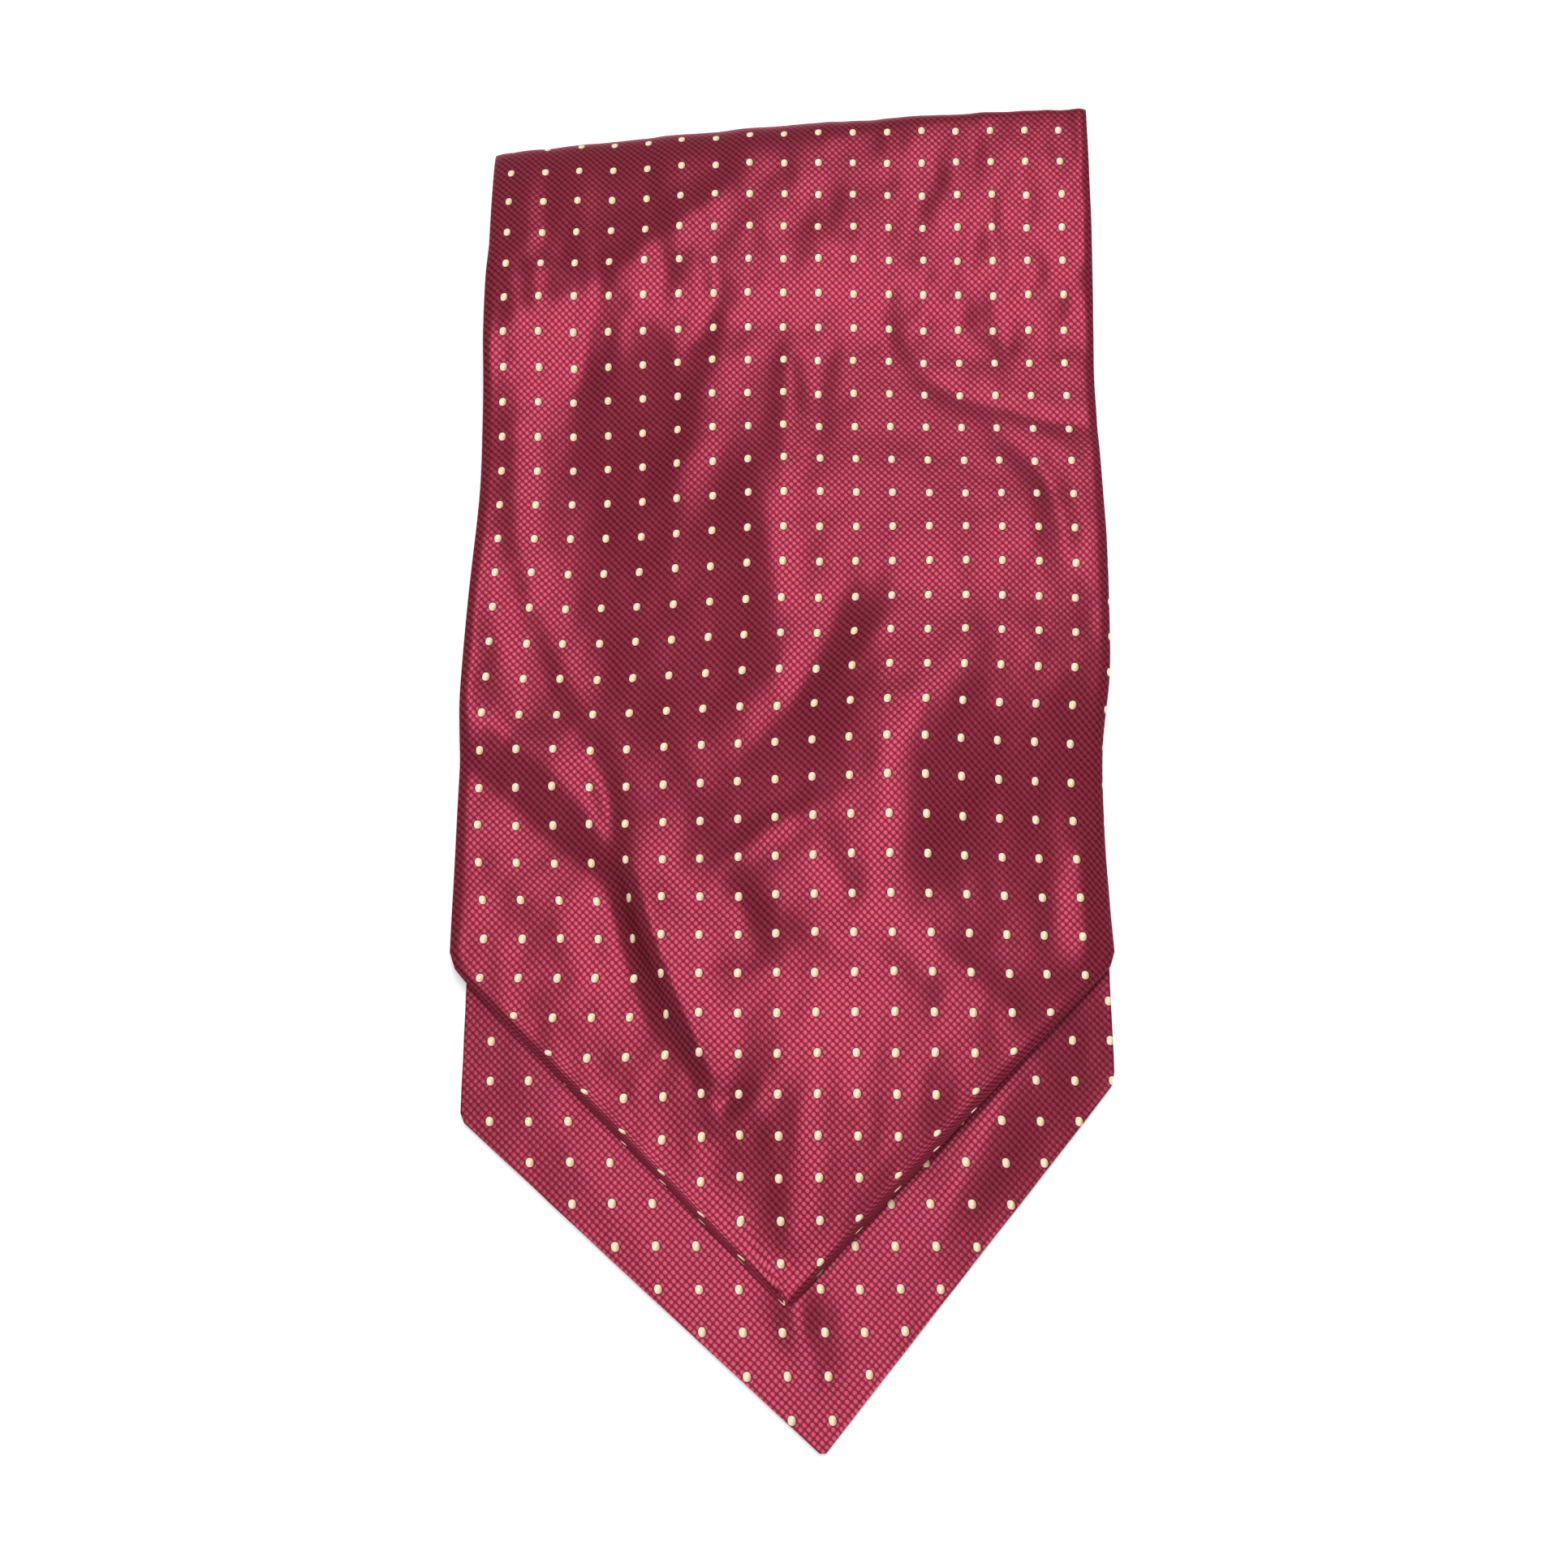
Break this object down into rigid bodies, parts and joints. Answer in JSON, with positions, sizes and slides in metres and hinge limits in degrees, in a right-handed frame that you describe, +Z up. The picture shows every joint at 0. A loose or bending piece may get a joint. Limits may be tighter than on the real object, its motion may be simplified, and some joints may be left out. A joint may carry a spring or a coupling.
{
  "type": "silk cravat",
  "caption": "Folded silk day cravat with two pointed blades lying flat on each other over a folded neckband.",
  "frame": {"origin": "on the table under the middle of the folded cravat", "axes": "+Y from the two points to the folded end, +Z up from the table"},
  "size_m": [0.1601, 0.3395, 0.0204],
  "materials": {
    "front_silk": "satin",
    "back_silk": "satin",
    "hidden_silk": "satin"
  },
  "bodies": {
    "root": {"front_blade": "front_silk", "back_blade": "back_silk", "folded_neckband": "hidden_silk"}
  },
  "joints": []
}
